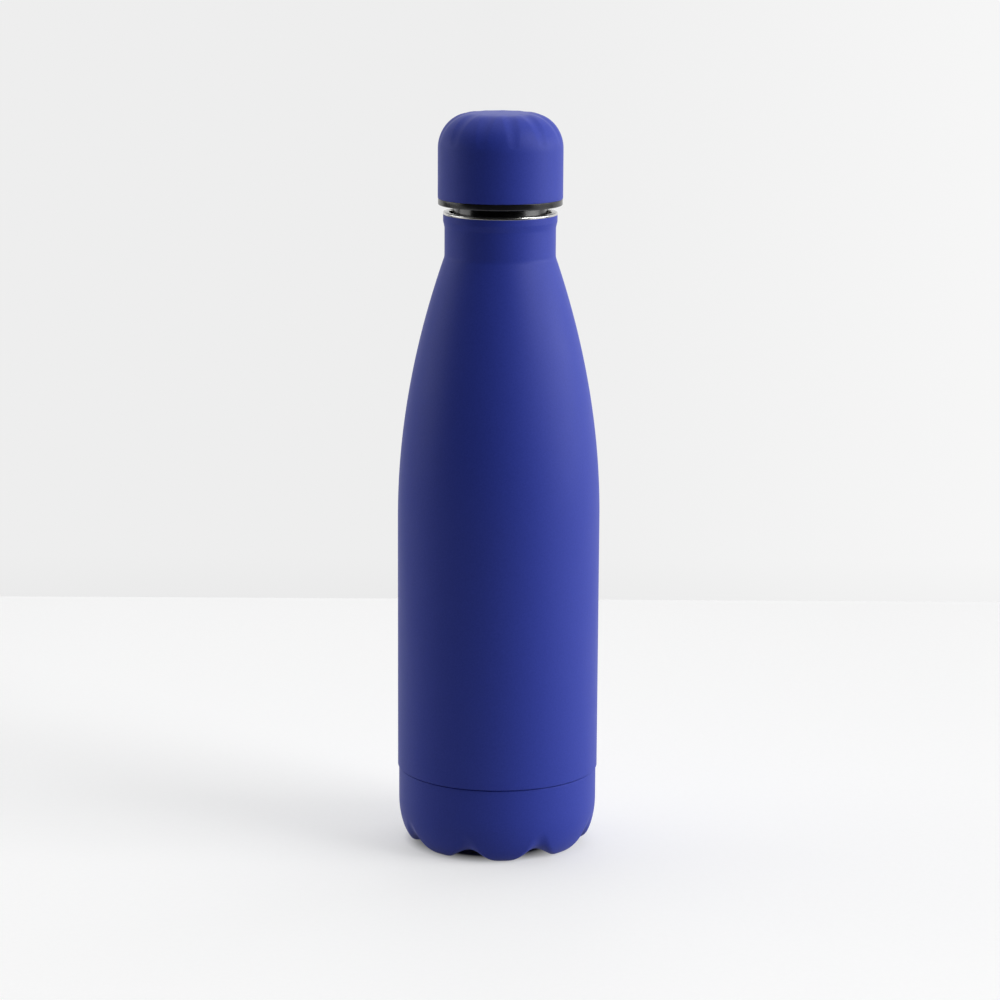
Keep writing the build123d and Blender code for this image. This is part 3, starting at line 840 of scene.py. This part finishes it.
def threaded_stopper():
    """Stopper turned round the axis.

    It runs from the nose's middle up the plug with its thread, round the band
    and the collar, and back down inside to the axis.
    """
    nose_top = PLUG_LOW[2] + NOSE_LIP_HEIGHT
    bottom = eased(rounded(
        [(0, PLUG_LOW[2]), (NOSE_LIP_RADIUS, PLUG_LOW[2]), (NOSE_LIP_RADIUS, nose_top),
         (NOSE_RADIUS, nose_top), (NOSE_RADIUS, PLUG_BOTTOM_Z), (PLUG_RADIUS, PLUG_BOTTOM_Z),
         (PLUG_RADIUS, PLUG_THREAD_Z[0])],
        NOSE_EDGES,
    ))
    plug_z = np.linspace(*PLUG_THREAD_Z, PLUG_THREAD_ROWS)
    plug = np.stack([np.full_like(plug_z, PLUG_RADIUS), plug_z], axis=1)

    top = PLUG_HIGH[2]
    band_z = top - BAND_TO_TOP
    band_top = band_z + BAND_HEIGHT
    outside = [
        (PLUG_RADIUS, PLUG_THREAD_Z[1]), (PLUG_RADIUS - PLUG_RELIEF, band_z), (BAND_RADIUS, band_z),
        (BAND_RADIUS, band_top), (COLLAR_RADIUS, band_top), (COLLAR_RADIUS, top),
    ]
    lid_room = COLLAR_RADIUS - COLLAR_WALL
    foam_room = lid_room - LID_STEP
    plug_room = PLUG_RADIUS - PLUG_WALL
    nose_room = NOSE_RADIUS - PLUG_WALL
    lid_z = top - LID_THICKNESS
    foam_z = band_top + PLUG_WALL
    plug_floor = PLUG_BOTTOM_Z + PLUG_WALL
    nose_floor = PLUG_LOW[2] + PLUG_WALL
    inside = [
        (lid_room, top), (lid_room, lid_z), (foam_room, lid_z), (foam_room, foam_z), (plug_room, foam_z),
        (plug_room, plug_floor), (nose_room, plug_floor), (nose_room, nose_floor), (0, nose_floor),
    ]
    upper = eased(rounded(outside + inside, BAND_EDGES + (ROOM_EDGE,) * len(inside)))

    points = turned(np.concatenate([bottom[:-1], plug, upper[1:]]), STOPPER_COLUMNS)
    threaded(points, len(bottom) - 1, PLUG_THREAD_ROWS, PLUG_THREAD_Z, PLUG_THREAD_HEIGHT, THREAD_PITCH / 2)
    return piece("threaded_stopper", points, "cap", "stopper_body", [BLACK])


def seal():
    """Silicone ring: its lower flank lies along the neck's seat."""
    land_z = SEAL_LOW[2] + SEAL_RADIUS - SEAL_TOE
    heel = NOSE_RADIUS + SEAL_PLAY
    path = rounded(
        [(SEAL_INNER, SEAL_LOW[2]), (SEAL_TOE, SEAL_LOW[2]), (SEAL_RADIUS, land_z),
         (SEAL_RADIUS, land_z + SEAL_LAND), (PLUG_RADIUS, SEAL_HIGH[2]), (heel, SEAL_HIGH[2]),
         (heel, SEAL_LOW[2]), (SEAL_INNER, SEAL_LOW[2])],
        SEAL_EDGES, 8,
    )
    points = turned(eased(path)[:-1], SEAL_COLUMNS)
    return piece("seal", points, "seal", "seal_ring", [SILICONE], closed=True)


painted_shell()
petal_foot()
steel_flask()
fluted_cap()
threaded_stopper()
seal()

INNER_FINISHES = {
    "shell_bottom": INNER_STEEL,
    "flask_bottom": INNER_STEEL,
    "getter_clip": INNER_STEEL,
    "copper_foil": copper(),
    "vacuum_seal": pressed_powder("solder", (150, 150, 152), (178, 178, 180), 1.0),
    "getter": pressed_powder("getter_alloy", (96, 97, 100), (122, 123, 126), 0.6),
    "stopper_foam": white_foam(),
    "stopper_lid": BLACK,
}
for node, material in INNER_FINISHES.items():
    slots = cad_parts[node].data.materials
    slots.clear()
    slots.append(material)


# -------------------------------------------------------------- stage
TABLE_SIDES = (-3.0, 3.0)      # the stage is in metres
TABLE_FRONT = -0.55
TABLE_BACK = 0.372
TABLE_TONES = (0.47, 0.48)
GLOW_SIDES = (-0.18, 0.18)     # the table's glow changes between these,
TABLE_GLOW_ACROSS = (0.025, -0.025)
GLOW_FRONT = -0.168            # and from here to the table's back
TABLE_GLOW_ALONG = (0.474, 0.360)
# Painted shade: under the foot the table's glow is taken away, so the floor shows dark there
DEEP_SHADE_X = -0.003          # the deep shade under the foot has its middle here
DEEP_SHADE = (0.0225, 0.0305)  # and runs out between these radii
WALL_SIDES = (-0.5, 0.9)
WALL_HEIGHT = 1.6
# Painted shade: the wall's glow is lower on the left
WALL_GLOW_SIDES = (0.0, 0.23)
WALL_GLOW = (0.855, 0.925)
WALL_FOOT = 0.02               # up to here the wall is a little darker, a painted shade
WALL_FOOT_PAINTED_SHADE = 0.97
ROOM_TONE = 0.01               # what the surroundings give to the pieces
BACKDROP_TONE = 0.9            # and what they show beside the wall


def stage_plane(name, x, y, z, material):
    """One rectangle: a floor where z is one height, or a wall where y is one
    depth."""
    mesh = bpy.data.meshes.new(name)
    if y[0] == y[1]:
        points = [(x[0], y[0], z[0]), (x[1], y[0], z[0]), (x[1], y[0], z[1]), (x[0], y[0], z[1])]
    else:
        points = [(x[0], y[0], z[0]), (x[1], y[0], z[0]), (x[1], y[1], z[0]), (x[0], y[1], z[0])]
    mesh.from_pydata(points, [], [(0, 1, 2, 3)])
    mesh.materials.append(material)
    obj = bpy.data.objects.new(name, mesh)
    bpy.context.scene.collection.objects.link(obj)
    return obj


def one_sided(tree, shader_socket):
    """Seen from behind, a stage surface lets everything through."""
    behind = add(tree, "ShaderNodeNewGeometry")
    clear = add(tree, "ShaderNodeBsdfTransparent")
    mix = add(tree, "ShaderNodeMixShader", [
        (0, behind.outputs["Backfacing"]), (1, shader_socket), (2, clear.outputs[0]),
    ])
    tree.links.new(mix.outputs[0], tree.nodes["Material Output"].inputs["Surface"])


def table_material():
    """White table: a diffuse top that keeps the shadow, with a share of its
    tone given to the camera and to reflections alone.  That share is taken
    away under the foot, which is painted shade."""
    material, tree, shader = finish("table_white", Roughness=0.7, Specular_IOR_Level=0.1)
    grain = effect(tree, GRAIN, Size=2.0, Coarse=0.5)
    dark, bright = ((tone,) * 3 for tone in TABLE_TONES)
    two_tone(tree, shader, grain.outputs["Speck"], dark, bright)
    where = place(tree)
    axes = add(tree, "ShaderNodeSeparateXYZ", [(0, where)])
    across = ramp(tree, axes.outputs[0], GLOW_SIDES, TABLE_GLOW_ACROSS)
    along = ramp(tree, axes.outputs[1], (GLOW_FRONT, TABLE_BACK), TABLE_GLOW_ALONG)
    # Painted shade under the foot: no glow near a point just left of the axis
    away = add(tree, "ShaderNodeVectorMath", [(0, where), (1, (DEEP_SHADE_X, 0, 0))], operation="DISTANCE")
    glow_outside_painted_shade = ramp(tree, away.outputs["Value"], DEEP_SHADE)
    tone = maths(tree, "MULTIPLY", maths(tree, "ADD", across, along), glow_outside_painted_shade)
    paths = add(tree, "ShaderNodeLightPath")
    seen = maths(tree, "MAXIMUM", paths.outputs["Is Camera Ray"], paths.outputs["Is Glossy Ray"])
    glow = add(tree, "ShaderNodeEmission", [("Strength", maths(tree, "MULTIPLY", tone, seen))])
    both = add(tree, "ShaderNodeAddShader", [(0, shader.outputs[0]), (1, glow.outputs[0])])
    one_sided(tree, both.outputs[0])
    return material


def wall_material():
    """Pale wall, with painted shade: a little darker on the left and just above the table."""
    material, tree, shader = finish("wall_white")
    tree.nodes.remove(shader)
    axes = add(tree, "ShaderNodeSeparateXYZ", [(0, place(tree))])
    # Painted shade on the left and along the wall's foot
    across = ramp(tree, axes.outputs[0], WALL_GLOW_SIDES, WALL_GLOW)
    low = ramp(tree, axes.outputs[2], (0.0, WALL_FOOT), (WALL_FOOT_PAINTED_SHADE, 1.0))
    glow = add(tree, "ShaderNodeEmission", [("Strength", maths(tree, "MULTIPLY", across, low))])
    one_sided(tree, glow.outputs[0])
    return material


def studio_world():
    """Surroundings that are pale for the camera and nearly dark otherwise."""
    world = bpy.data.worlds.new("studio")
    world.use_nodes = True
    tree = world.node_tree
    paths = add(tree, "ShaderNodeLightPath")
    room = colour_mix(tree, paths.outputs["Is Camera Ray"], (ROOM_TONE,) * 3, (BACKDROP_TONE,) * 3)
    tree.links.new(room, tree.nodes["Background"].inputs["Color"])
    return world


stage_plane("table", TABLE_SIDES, (TABLE_FRONT, TABLE_BACK), (0, 0), table_material())
wall = stage_plane("wall", WALL_SIDES, (TABLE_BACK, TABLE_BACK), (0, WALL_HEIGHT), wall_material())
wall.visible_diffuse = False
wall.visible_shadow = False
bpy.context.scene.world = studio_world()


# -------------------------------------------------------------- lamps
BOTTLE_MIDDLE = Vector((0, 0, 0.13))


def lamp(name, azimuth, elevation, distance, size, power):
    """Soft rectangular lamp aimed at the bottle's middle.

    It stands at (d*cos(e)*sin(a), -d*cos(e)*cos(a), d*sin(e)) from there, so
    azimuth a counts from the front towards the right.
    """
    light = bpy.data.lights.new(name, "AREA")
    light.shape = "RECTANGLE"
    light.size, light.size_y = size
    light.energy = power
    obj = bpy.data.objects.new(name, light)
    bpy.context.scene.collection.objects.link(obj)
    a, e = math.radians(azimuth), math.radians(elevation)
    out = np.array([math.cos(e) * math.sin(a), -math.cos(e) * math.cos(a), math.sin(e)])
    right = np.cross(-out, (0, 0, 1))
    right /= np.linalg.norm(right)
    up = np.cross(right, -out)
    turn = Matrix(np.stack([right, up, out], axis=1).tolist()).to_4x4()
    obj.matrix_world = Matrix.Translation(BOTTLE_MIDDLE + Vector(distance * out)) @ turn
    obj.visible_camera = False
    return obj


lamp("high_key", 70, 43, 2.0, (0.9, 0.8), 14.0)
lamp("overhead", 0, 88, 1.5, (0.9, 0.9), 4.2)
lamp("front_key", 56, 28, 2.0, (0.6, 0.5), 7.9)
lamp("right_low", 89, 11, 2.0, (1.7, 0.5), 21.0)
lamp("right_back", 138, 28, 1.5, (0.9, 0.9), 2.1)
lamp("left_low", -100, 10, 1.5, (1.1, 0.5), 4.4)
lamp("left_high", -96, 50, 1.5, (0.9, 0.8), 2.0)

# Only the sheen on the cap's flat top
crown_light = lamp("crown_light", 180, 30, 1.5, (0.5, 0.4), 3.0)
crown_light.visible_diffuse = False

# What the lit wall would send forwards, from just behind it
WALL_LIGHT_GAP = 0.01
wall_light = lamp("wall_light", 180, 0, TABLE_BACK + WALL_LIGHT_GAP, (WALL_HEIGHT, WALL_HEIGHT), 7.0)
wall_light.location.z = WALL_HEIGHT / 2
wall_light.visible_glossy = False


# ------------------------------------------------------------- camera
CAMERA_PLACE = (0.00044, -1.111, 0.34946)
CAMERA_DROP = 11.5             # degrees below level
CAMERA_ROLL = 0.32             # degrees
CAMERA_LENS = 116.0
CAMERA_SENSOR = 36.0

view = bpy.data.cameras.new("camera")
view.sensor_width = CAMERA_SENSOR
view.lens = CAMERA_LENS
view.clip_end = 50
camera = bpy.data.objects.new("camera", view)
bpy.context.scene.collection.objects.link(camera)
tilt = Matrix.Rotation(math.radians(90 - CAMERA_DROP), 4, "X")
roll = Matrix.Rotation(math.radians(CAMERA_ROLL), 4, "Z")
camera.matrix_world = Matrix.Translation(CAMERA_PLACE) @ tilt @ roll
bpy.context.scene.camera = camera
bpy.context.scene.view_settings.view_transform = "Standard"
